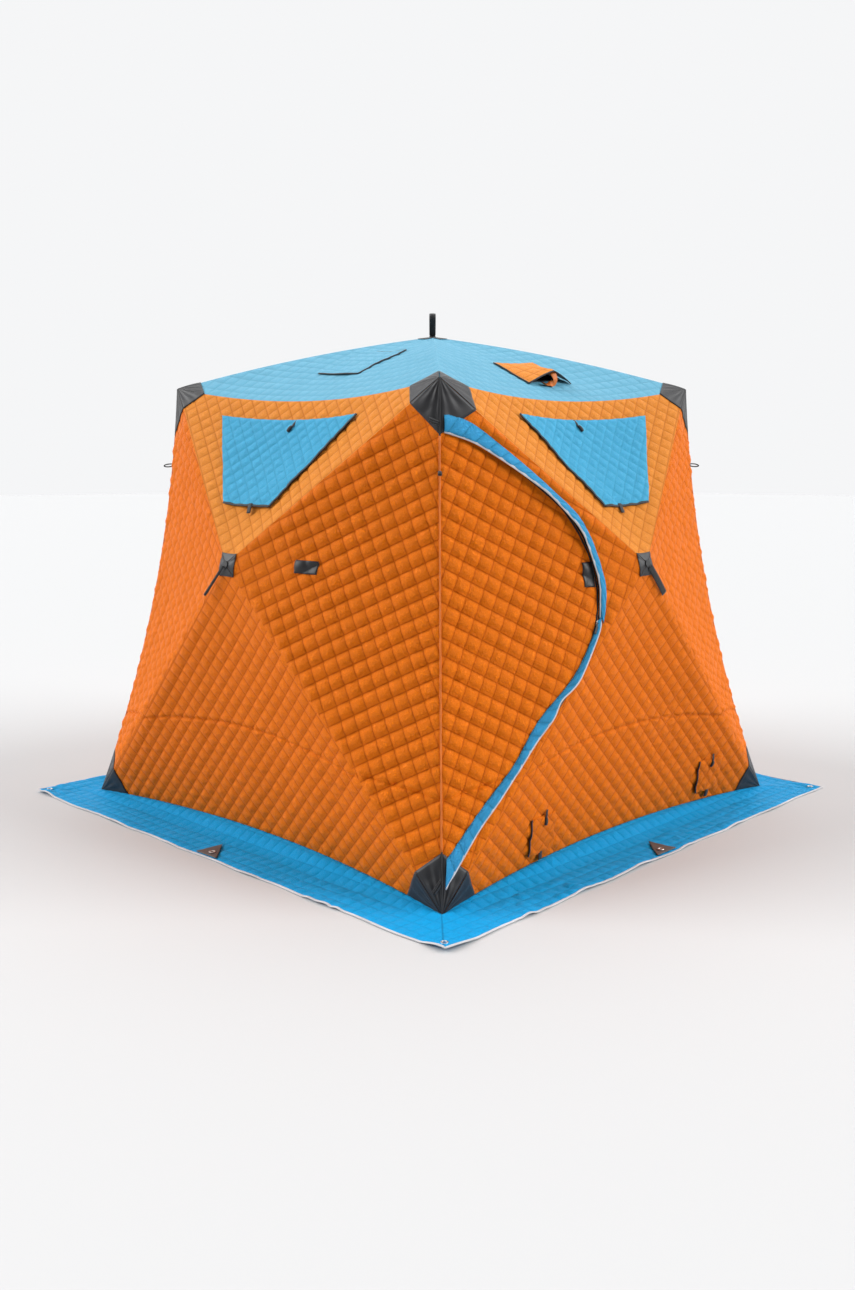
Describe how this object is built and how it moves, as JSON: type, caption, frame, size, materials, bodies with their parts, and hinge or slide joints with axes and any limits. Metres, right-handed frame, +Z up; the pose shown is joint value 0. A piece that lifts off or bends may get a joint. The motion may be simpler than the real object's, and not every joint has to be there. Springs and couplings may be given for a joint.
{
  "type": "pop-up ice fishing shelter",
  "caption": "Pop-up cube shelter of quilted cloth on hub-and-pole walls, with a zip door, rolled window flaps, roof vents and a ground skirt.",
  "frame": {"origin": "on the ground, under the roof hub, at the middle of the floor", "axes": "+Z up; the wall with the door faces -Y; the wall that the door folds back to faces -X"},
  "size_m": [2.578, 2.578, 2.1414],
  "materials": {
    "wall_cloth": "matte",
    "roof_cloth": "matte",
    "window_flap": "matte",
    "vent_flap": "matte",
    "roof_vent_flap": "matte",
    "low_vent_flap": "matte",
    "skirt_cloth": "matte",
    "black_patch": "matte",
    "pole": "matte",
    "hub_plastic": "matte",
    "fitting_plastic": "matte",
    "zip_metal": "matte",
    "zip_pull": "matte"
  },
  "bodies": {
    "root": {"skirt": "skirt_cloth", "skirt_anchors": "black_patch", "top_corner_fittings": "fitting_plastic", "bottom_corner_fittings": "fitting_plastic"},
    "front_hub": {"front_hub": "hub_plastic"},
    "front_top_left_pole": {"front_top_left_pole": "pole"},
    "front_top_right_pole": {"front_top_right_pole": "pole"},
    "front_low_right_pole": {"front_low_right_pole": "pole"},
    "front_low_left_pole": {"front_low_left_pole": "pole"},
    "front_top_panel": {"front_top_panel": "wall_cloth"},
    "front_bottom_panel": {"front_bottom_panel": "wall_cloth"},
    "front_left_panel": {"front_left_panel": "wall_cloth"},
    "front_right_panel": {"front_right_panel": "wall_cloth"},
    "right_hub": {"right_hub": "hub_plastic"},
    "right_top_left_pole": {"right_top_left_pole": "pole"},
    "right_top_right_pole": {"right_top_right_pole": "pole"},
    "right_low_right_pole": {"right_low_right_pole": "pole"},
    "right_low_left_pole": {"right_low_left_pole": "pole"},
    "right_top_panel": {"right_top_panel": "wall_cloth"},
    "right_bottom_panel": {"right_bottom_panel": "wall_cloth"},
    "right_left_panel": {"right_left_panel": "wall_cloth"},
    "right_right_panel": {"right_right_panel": "wall_cloth"},
    "back_hub": {"back_hub": "hub_plastic"},
    "back_top_left_pole": {"back_top_left_pole": "pole"},
    "back_top_right_pole": {"back_top_right_pole": "pole"},
    "back_low_right_pole": {"back_low_right_pole": "pole"},
    "back_low_left_pole": {"back_low_left_pole": "pole"},
    "back_top_panel": {"back_top_panel": "wall_cloth"},
    "back_bottom_panel": {"back_bottom_panel": "wall_cloth"},
    "back_left_panel": {"back_left_panel": "wall_cloth"},
    "back_right_panel": {"back_right_panel": "wall_cloth"},
    "left_hub": {"left_hub": "hub_plastic"},
    "left_top_left_pole": {"left_top_left_pole": "pole"},
    "left_top_right_pole": {"left_top_right_pole": "pole"},
    "left_low_right_pole": {"left_low_right_pole": "pole"},
    "left_low_left_pole": {"left_low_left_pole": "pole"},
    "left_top_panel": {"left_top_panel": "wall_cloth"},
    "left_bottom_panel": {"left_bottom_panel": "wall_cloth"},
    "left_left_panel": {"left_left_panel": "wall_cloth"},
    "left_right_panel": {"left_right_panel": "wall_cloth"},
    "roof_hub": {"roof_hub": "hub_plastic"},
    "roof_back_left_pole": {"roof_back_left_pole": "pole"},
    "roof_back_right_pole": {"roof_back_right_pole": "pole"},
    "roof_front_right_pole": {"roof_front_right_pole": "pole"},
    "roof_front_left_pole": {"roof_front_left_pole": "pole"},
    "roof_front_panel": {"roof_front_panel": "roof_cloth"},
    "roof_right_panel": {"roof_right_panel": "roof_cloth"},
    "roof_back_panel": {"roof_back_panel": "roof_cloth"},
    "roof_left_panel": {"roof_left_panel": "roof_cloth"},
    "front_window_flap": {"front_window_flap": "window_flap"},
    "right_window_flap": {"right_window_flap": "window_flap"},
    "back_window_flap": {"back_window_flap": "window_flap"},
    "left_window_flap": {"left_window_flap": "window_flap"},
    "left_roof_vent": {"left_roof_vent": "roof_vent_flap"},
    "front_roof_vent": {"front_roof_vent": "vent_flap"},
    "left_low_vent": {"left_low_vent": "low_vent_flap"},
    "right_low_vent": {"right_low_vent": "low_vent_flap"},
    "door": {"door": "wall_cloth"},
    "zip_slider": {"zip_slider": "zip_metal"},
    "zip_pull": {"zip_pull": "zip_pull"}
  },
  "joints": [
    {"name": "front_hub_push", "type": "slide", "parent": "root", "child": "front_hub", "axis": [0, 0.9873, -0.1586], "range_m": [0, 0.48805], "deforming": ["front_top_panel", "front_bottom_panel", "front_left_panel", "front_right_panel"]},
    {"name": "front_top_left_pole_swing", "type": "hinge", "parent": "root", "child": "front_top_left_pole", "pos_m": [-0.72014, -0.76216, 1.75405], "axis": [0.6815, 0.116, 0.7226], "range_deg": [0, 29.67]},
    {"name": "front_top_right_pole_swing", "type": "hinge", "parent": "root", "child": "front_top_right_pole", "pos_m": [0.72014, -0.76216, 1.75405], "axis": [0.6815, -0.116, -0.7226], "range_deg": [0, 29.67]},
    {"name": "front_low_right_pole_swing", "type": "hinge", "parent": "root", "child": "front_low_right_pole", "pos_m": [1.01413, -1.03322, 0.0662], "axis": [-0.7156, -0.1108, -0.6897], "range_deg": [0, 19.94]},
    {"name": "front_low_left_pole_swing", "type": "hinge", "parent": "root", "child": "front_low_left_pole", "pos_m": [-1.01413, -1.03322, 0.0662], "axis": [-0.7156, 0.1108, 0.6897], "range_deg": [0, 19.94]},
    {"name": "front_top_panel_fold", "type": "hinge", "parent": "root", "child": "front_top_panel", "pos_m": [0.786, -0.786, 1.82], "axis": [1, 0, 0], "range_deg": [0, 36.9]},
    {"name": "front_bottom_panel_fold", "type": "hinge", "parent": "root", "child": "front_bottom_panel", "pos_m": [-1.077, -1.077, 0.008], "axis": [-1, 0, 0], "range_deg": [0, 24.96]},
    {"name": "front_left_panel_fold", "type": "hinge", "parent": "root", "child": "front_left_panel", "pos_m": [-0.786, -0.786, 1.82], "axis": [0.1566, 0.1566, 0.9752], "range_deg": [0, 30.66]},
    {"name": "front_right_panel_fold", "type": "hinge", "parent": "root", "child": "front_right_panel", "pos_m": [1.077, -1.077, 0.008], "axis": [0.1566, -0.1566, -0.9752], "range_deg": [0, 30.66]},
    {"name": "right_hub_push", "type": "slide", "parent": "root", "child": "right_hub", "axis": [-0.9873, 0, -0.1586], "range_m": [0, 0.48805], "deforming": ["right_top_panel", "right_bottom_panel", "right_left_panel", "right_right_panel"]},
    {"name": "right_top_left_pole_swing", "type": "hinge", "parent": "root", "child": "right_top_left_pole", "pos_m": [0.76216, -0.72014, 1.75405], "axis": [-0.116, 0.6815, 0.7226], "range_deg": [0, 29.67]},
    {"name": "right_top_right_pole_swing", "type": "hinge", "parent": "root", "child": "right_top_right_pole", "pos_m": [0.76216, 0.72014, 1.75405], "axis": [0.116, 0.6815, -0.7226], "range_deg": [0, 29.67]},
    {"name": "right_low_right_pole_swing", "type": "hinge", "parent": "root", "child": "right_low_right_pole", "pos_m": [1.03322, 1.01413, 0.0662], "axis": [0.1108, -0.7156, -0.6897], "range_deg": [0, 19.94]},
    {"name": "right_low_left_pole_swing", "type": "hinge", "parent": "root", "child": "right_low_left_pole", "pos_m": [1.03322, -1.01413, 0.0662], "axis": [-0.1108, -0.7156, 0.6897], "range_deg": [0, 19.94]},
    {"name": "right_top_panel_fold", "type": "hinge", "parent": "root", "child": "right_top_panel", "pos_m": [0.786, 0.786, 1.82], "axis": [0, 1, 0], "range_deg": [0, 36.9]},
    {"name": "right_bottom_panel_fold", "type": "hinge", "parent": "root", "child": "right_bottom_panel", "pos_m": [1.077, -1.077, 0.008], "axis": [0, -1, 0], "range_deg": [0, 24.96]},
    {"name": "right_left_panel_fold", "type": "hinge", "parent": "root", "child": "right_left_panel", "pos_m": [0.786, -0.786, 1.82], "axis": [-0.1566, 0.1566, 0.9752], "range_deg": [0, 30.66]},
    {"name": "right_right_panel_fold", "type": "hinge", "parent": "root", "child": "right_right_panel", "pos_m": [1.077, 1.077, 0.008], "axis": [0.1566, 0.1566, -0.9752], "range_deg": [0, 30.66]},
    {"name": "back_hub_push", "type": "slide", "parent": "root", "child": "back_hub", "axis": [0, -0.9873, -0.1586], "range_m": [0, 0.48805], "deforming": ["back_top_panel", "back_bottom_panel", "back_left_panel", "back_right_panel"]},
    {"name": "back_top_left_pole_swing", "type": "hinge", "parent": "root", "child": "back_top_left_pole", "pos_m": [0.72014, 0.76216, 1.75405], "axis": [-0.6815, -0.116, 0.7226], "range_deg": [0, 29.67]},
    {"name": "back_top_right_pole_swing", "type": "hinge", "parent": "root", "child": "back_top_right_pole", "pos_m": [-0.72014, 0.76216, 1.75405], "axis": [-0.6815, 0.116, -0.7226], "range_deg": [0, 29.67]},
    {"name": "back_low_right_pole_swing", "type": "hinge", "parent": "root", "child": "back_low_right_pole", "pos_m": [-1.01413, 1.03322, 0.0662], "axis": [0.7156, 0.1108, -0.6897], "range_deg": [0, 19.94]},
    {"name": "back_low_left_pole_swing", "type": "hinge", "parent": "root", "child": "back_low_left_pole", "pos_m": [1.01413, 1.03322, 0.0662], "axis": [0.7156, -0.1108, 0.6897], "range_deg": [0, 19.94]},
    {"name": "back_top_panel_fold", "type": "hinge", "parent": "root", "child": "back_top_panel", "pos_m": [-0.786, 0.786, 1.82], "axis": [-1, 0, 0], "range_deg": [0, 36.9]},
    {"name": "back_bottom_panel_fold", "type": "hinge", "parent": "root", "child": "back_bottom_panel", "pos_m": [1.077, 1.077, 0.008], "axis": [1, 0, 0], "range_deg": [0, 24.96]},
    {"name": "back_left_panel_fold", "type": "hinge", "parent": "root", "child": "back_left_panel", "pos_m": [0.786, 0.786, 1.82], "axis": [-0.1566, -0.1566, 0.9752], "range_deg": [0, 30.66]},
    {"name": "back_right_panel_fold", "type": "hinge", "parent": "root", "child": "back_right_panel", "pos_m": [-1.077, 1.077, 0.008], "axis": [-0.1566, 0.1566, -0.9752], "range_deg": [0, 30.66]},
    {"name": "left_hub_push", "type": "slide", "parent": "root", "child": "left_hub", "axis": [0.9873, 0, -0.1586], "range_m": [0, 0.48805], "deforming": ["left_top_panel", "left_bottom_panel", "left_left_panel", "left_right_panel"]},
    {"name": "left_top_left_pole_swing", "type": "hinge", "parent": "root", "child": "left_top_left_pole", "pos_m": [-0.76216, 0.72014, 1.75405], "axis": [0.116, -0.6815, 0.7226], "range_deg": [0, 29.67]},
    {"name": "left_top_right_pole_swing", "type": "hinge", "parent": "root", "child": "left_top_right_pole", "pos_m": [-0.76216, -0.72014, 1.75405], "axis": [-0.116, -0.6815, -0.7226], "range_deg": [0, 29.67]},
    {"name": "left_low_right_pole_swing", "type": "hinge", "parent": "root", "child": "left_low_right_pole", "pos_m": [-1.03322, -1.01413, 0.0662], "axis": [-0.1108, 0.7156, -0.6897], "range_deg": [0, 19.94]},
    {"name": "left_low_left_pole_swing", "type": "hinge", "parent": "root", "child": "left_low_left_pole", "pos_m": [-1.03322, 1.01413, 0.0662], "axis": [0.1108, 0.7156, 0.6897], "range_deg": [0, 19.94]},
    {"name": "left_top_panel_fold", "type": "hinge", "parent": "root", "child": "left_top_panel", "pos_m": [-0.786, -0.786, 1.82], "axis": [0, -1, 0], "range_deg": [0, 36.9]},
    {"name": "left_bottom_panel_fold", "type": "hinge", "parent": "root", "child": "left_bottom_panel", "pos_m": [-1.077, 1.077, 0.008], "axis": [0, 1, 0], "range_deg": [0, 24.96]},
    {"name": "left_left_panel_fold", "type": "hinge", "parent": "root", "child": "left_left_panel", "pos_m": [-0.786, 0.786, 1.82], "axis": [0.1566, -0.1566, 0.9752], "range_deg": [0, 30.66]},
    {"name": "left_right_panel_fold", "type": "hinge", "parent": "root", "child": "left_right_panel", "pos_m": [-1.077, -1.077, 0.008], "axis": [-0.1566, -0.1566, -0.9752], "range_deg": [0, 30.66]},
    {"name": "roof_hub_push", "type": "slide", "parent": "root", "child": "roof_hub", "axis": [0, 0, -1], "range_m": [0, 0.444], "deforming": ["roof_front_panel", "roof_right_panel", "roof_back_panel", "roof_left_panel"]},
    {"name": "roof_back_left_pole_swing", "type": "hinge", "parent": "root", "child": "roof_back_left_pole", "pos_m": [-0.72236, 0.72236, 1.786], "axis": [0.7071, 0.7071, 0], "range_deg": [0, 26.07]},
    {"name": "roof_back_right_pole_swing", "type": "hinge", "parent": "root", "child": "roof_back_right_pole", "pos_m": [0.72236, 0.72236, 1.786], "axis": [0.7071, -0.7071, 0], "range_deg": [0, 26.07]},
    {"name": "roof_front_right_pole_swing", "type": "hinge", "parent": "root", "child": "roof_front_right_pole", "pos_m": [0.72236, -0.72236, 1.786], "axis": [-0.7071, -0.7071, 0], "range_deg": [0, 26.07]},
    {"name": "roof_front_left_pole_swing", "type": "hinge", "parent": "root", "child": "roof_front_left_pole", "pos_m": [-0.72236, -0.72236, 1.786], "axis": [-0.7071, 0.7071, 0], "range_deg": [0, 26.07]},
    {"name": "roof_front_panel_fold", "type": "hinge", "parent": "root", "child": "roof_front_panel", "pos_m": [-0.786, -0.786, 1.82], "axis": [-1, 0, 0], "range_deg": [0, 31.56]},
    {"name": "roof_right_panel_fold", "type": "hinge", "parent": "root", "child": "roof_right_panel", "pos_m": [0.786, -0.786, 1.82], "axis": [0, -1, 0], "range_deg": [0, 31.56]},
    {"name": "roof_back_panel_fold", "type": "hinge", "parent": "root", "child": "roof_back_panel", "pos_m": [0.786, 0.786, 1.82], "axis": [1, 0, 0], "range_deg": [0, 31.56]},
    {"name": "roof_left_panel_fold", "type": "hinge", "parent": "root", "child": "roof_left_panel", "pos_m": [-0.786, 0.786, 1.82], "axis": [0, 1, 0], "range_deg": [0, 31.56]},
    {"name": "front_window_roll", "type": "hinge", "parent": "front_top_panel", "child": "front_window_flap", "pos_m": [0.411, -0.80383, 1.69782], "axis": [-1, 0, 0], "range_deg": [0, 115]},
    {"name": "right_window_roll", "type": "hinge", "parent": "right_top_panel", "child": "right_window_flap", "pos_m": [0.80383, 0.411, 1.69782], "axis": [0, -1, 0], "range_deg": [0, 115]},
    {"name": "back_window_roll", "type": "hinge", "parent": "back_top_panel", "child": "back_window_flap", "pos_m": [-0.411, 0.80383, 1.69782], "axis": [1, 0, 0], "range_deg": [0, 115]},
    {"name": "left_window_roll", "type": "hinge", "parent": "left_top_panel", "child": "left_window_flap", "pos_m": [-0.80383, -0.411, 1.69782], "axis": [0, 1, 0], "range_deg": [0, 115]},
    {"name": "left_roof_vent_lift", "type": "hinge", "parent": "roof_left_panel", "child": "left_roof_vent", "pos_m": [-0.25224, 0, 1.97117], "axis": [0, 1, 0], "range_deg": [0, 75]},
    {"name": "front_roof_vent_lift", "type": "hinge", "parent": "roof_front_panel", "child": "front_roof_vent", "pos_m": [0, -0.39948, 1.92958], "axis": [-1, 0, 0], "range_deg": [-14, 75]},
    {"name": "left_low_vent_lift", "type": "hinge", "parent": "front_bottom_panel", "child": "left_low_vent", "pos_m": [-0.5, -1.04866, 0.22495], "axis": [-0.9939, -0.1084, -0.0179], "range_deg": [0, 150]},
    {"name": "right_low_vent_lift", "type": "hinge", "parent": "front_bottom_panel", "child": "right_low_vent", "pos_m": [0.65, -1.0653, 0.22398], "axis": [-0.9939, 0.1084, 0.0179], "range_deg": [0, 150]},
    {"name": "door_open", "type": "hinge", "parent": "front_left_panel", "child": "door", "pos_m": [-0.786, -0.786, 1.82], "axis": [-0.1566, -0.1566, -0.9752], "range_deg": [0, 233.9]},
    {"name": "zip_run", "type": "slide", "parent": "door", "child": "zip_slider", "axis": [-0.4787, -0.1004, -0.8722], "range_m": [0, 0.05]},
    {"name": "zip_pull_swing", "type": "hinge", "parent": "zip_slider", "child": "zip_pull", "pos_m": [-0.26874, -1.11201, 0.92934], "axis": [-0.7942, 0.4731, 0.3814], "range_deg": [0, 150]}
  ],
  "couplings": [
    {"joint": "front_top_left_pole_swing", "follows": "front_hub_push", "rad_per_m": 1.0602},
    {"joint": "front_top_right_pole_swing", "follows": "front_hub_push", "rad_per_m": 1.0602},
    {"joint": "front_low_right_pole_swing", "follows": "front_hub_push", "rad_per_m": 0.71227},
    {"joint": "front_low_left_pole_swing", "follows": "front_hub_push", "rad_per_m": 0.71227},
    {"joint": "front_top_panel_fold", "follows": "front_hub_push", "rad_per_m": 1.3187},
    {"joint": "front_bottom_panel_fold", "follows": "front_hub_push", "rad_per_m": 0.89204},
    {"joint": "front_left_panel_fold", "follows": "front_hub_push", "rad_per_m": 1.0956},
    {"joint": "front_right_panel_fold", "follows": "front_hub_push", "rad_per_m": 1.0956},
    {"joint": "right_top_left_pole_swing", "follows": "right_hub_push", "rad_per_m": 1.0602},
    {"joint": "right_top_right_pole_swing", "follows": "right_hub_push", "rad_per_m": 1.0602},
    {"joint": "right_low_right_pole_swing", "follows": "right_hub_push", "rad_per_m": 0.71227},
    {"joint": "right_low_left_pole_swing", "follows": "right_hub_push", "rad_per_m": 0.71227},
    {"joint": "right_top_panel_fold", "follows": "right_hub_push", "rad_per_m": 1.3187},
    {"joint": "right_bottom_panel_fold", "follows": "right_hub_push", "rad_per_m": 0.89204},
    {"joint": "right_left_panel_fold", "follows": "right_hub_push", "rad_per_m": 1.0956},
    {"joint": "right_right_panel_fold", "follows": "right_hub_push", "rad_per_m": 1.0956},
    {"joint": "back_top_left_pole_swing", "follows": "back_hub_push", "rad_per_m": 1.0602},
    {"joint": "back_top_right_pole_swing", "follows": "back_hub_push", "rad_per_m": 1.0602},
    {"joint": "back_low_right_pole_swing", "follows": "back_hub_push", "rad_per_m": 0.71227},
    {"joint": "back_low_left_pole_swing", "follows": "back_hub_push", "rad_per_m": 0.71227},
    {"joint": "back_top_panel_fold", "follows": "back_hub_push", "rad_per_m": 1.3187},
    {"joint": "back_bottom_panel_fold", "follows": "back_hub_push", "rad_per_m": 0.89204},
    {"joint": "back_left_panel_fold", "follows": "back_hub_push", "rad_per_m": 1.0956},
    {"joint": "back_right_panel_fold", "follows": "back_hub_push", "rad_per_m": 1.0956},
    {"joint": "left_top_left_pole_swing", "follows": "left_hub_push", "rad_per_m": 1.0602},
    {"joint": "left_top_right_pole_swing", "follows": "left_hub_push", "rad_per_m": 1.0602},
    {"joint": "left_low_right_pole_swing", "follows": "left_hub_push", "rad_per_m": 0.71227},
    {"joint": "left_low_left_pole_swing", "follows": "left_hub_push", "rad_per_m": 0.71227},
    {"joint": "left_top_panel_fold", "follows": "left_hub_push", "rad_per_m": 1.3187},
    {"joint": "left_bottom_panel_fold", "follows": "left_hub_push", "rad_per_m": 0.89204},
    {"joint": "left_left_panel_fold", "follows": "left_hub_push", "rad_per_m": 1.0956},
    {"joint": "left_right_panel_fold", "follows": "left_hub_push", "rad_per_m": 1.0956},
    {"joint": "roof_back_left_pole_swing", "follows": "roof_hub_push", "rad_per_m": 1.0241},
    {"joint": "roof_back_right_pole_swing", "follows": "roof_hub_push", "rad_per_m": 1.0241},
    {"joint": "roof_front_right_pole_swing", "follows": "roof_hub_push", "rad_per_m": 1.0241},
    {"joint": "roof_front_left_pole_swing", "follows": "roof_hub_push", "rad_per_m": 1.0241},
    {"joint": "roof_front_panel_fold", "follows": "roof_hub_push", "rad_per_m": 1.24},
    {"joint": "roof_right_panel_fold", "follows": "roof_hub_push", "rad_per_m": 1.24},
    {"joint": "roof_back_panel_fold", "follows": "roof_hub_push", "rad_per_m": 1.24},
    {"joint": "roof_left_panel_fold", "follows": "roof_hub_push", "rad_per_m": 1.24}
  ]
}
